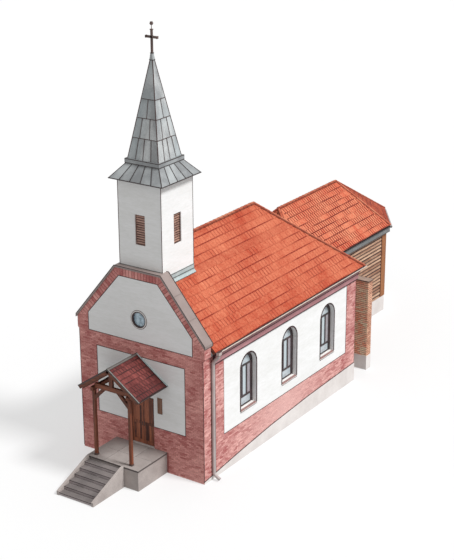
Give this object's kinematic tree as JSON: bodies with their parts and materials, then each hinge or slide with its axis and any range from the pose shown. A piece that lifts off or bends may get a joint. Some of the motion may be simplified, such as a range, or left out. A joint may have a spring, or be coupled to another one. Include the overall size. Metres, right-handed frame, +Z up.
{
  "type": "village church building",
  "caption": "Hollow village church with a front tower and sheet-metal spire, timber entrance porch over a stair, arched side windows and a lower hipped annex behind.",
  "frame": {"origin": "underside of the nave's floor in the middle of the nave, at the lowest ground level", "axes": "+Z up, +Y from the entrance front towards the annex behind, +X to the right of someone facing the entrance"},
  "size_m": [9.5153, 31.5, 21.11],
  "materials": {
    "brick": "matt dusty-red brick with pale joints",
    "brown_brick": "matt brown brick",
    "plaster": "white trowelled plaster on masonry",
    "concrete": "rough grey concrete",
    "coping": "pinkish grey painted sheet",
    "orange_tile": "matt orange-red clay tile",
    "crimson_tile": "dark crimson tile, faint sheen",
    "timber": "dark brown stained timber",
    "boards": "ochre-brown lapped boards",
    "louvre": "brown painted slats",
    "window_frame": "dark brown painted wood",
    "window_glass": "pale blue glass",
    "sheet_metal": "blue-grey roofing sheet with seams",
    "gutter_metal": "grey-beige painted sheet",
    "iron": "dark painted iron"
  },
  "bodies": {
    "building": {"nave_floor": "concrete", "door_threshold": "concrete", "front_wall_left": "brick", "front_wall_right": "brick", "front_gable_wall": "brick", "gable_coping": "coping", "side_wall_right": "plaster", "side_wall_left": "plaster", "rear_wall": "plaster", "nave_roof": "orange_tile", "eaves_cornice": "brick", "gutter_right": "gutter_metal", "gutter_left": "gutter_metal", "gutter_rear": "gutter_metal", "downpipe_right": "gutter_metal", "downpipe_left": "gutter_metal", "window_right_1": "window_frame", "window_right_2": "window_frame", "window_right_3": "window_frame", "window_left_1": "window_frame", "window_left_2": "window_frame", "window_left_3": "window_frame", "oculus_frame": "coping", "oculus_glass": "window_glass", "door_frame": "timber", "notice_board": "timber", "porch_post_left": "timber", "porch_post_right": "timber", "porch_plate_left": "timber", "porch_plate_right": "timber", "porch_brace_left": "timber", "porch_brace_right": "timber", "porch_tie_beam": "timber", "porch_king_post": "timber", "porch_rafters": "timber", "porch_roof": "crimson_tile", "entrance_landing": "concrete", "entrance_steps": "concrete", "tower_walls": "plaster", "tower_louvre_front": "louvre", "tower_louvre_right": "louvre", "tower_louvre_rear": "louvre", "tower_louvre_left": "louvre", "tower_beam": "timber", "tower_skirt_roof": "sheet_metal", "spire": "sheet_metal", "spire_cross": "iron", "annex_walls": "boards", "annex_roof": "orange_tile", "annex_eaves_box": "sheet_metal", "yard_wall": "brown_brick", "yard_wall_coping": "concrete"},
    "left_leaf": {"door_leaf_left": "timber"},
    "right_leaf": {"door_leaf_right": "timber"}
  },
  "joints": [
    {"name": "left_leaf_swing", "type": "hinge", "parent": "building", "child": "left_leaf", "pos_m": [-0.648, -6.8355, 2.33], "axis": [0, 0, 1], "range_deg": [0, 90]},
    {"name": "right_leaf_swing", "type": "hinge", "parent": "building", "child": "right_leaf", "pos_m": [0.648, -6.8355, 2.33], "axis": [0, 0, -1], "range_deg": [0, 90]}
  ]
}
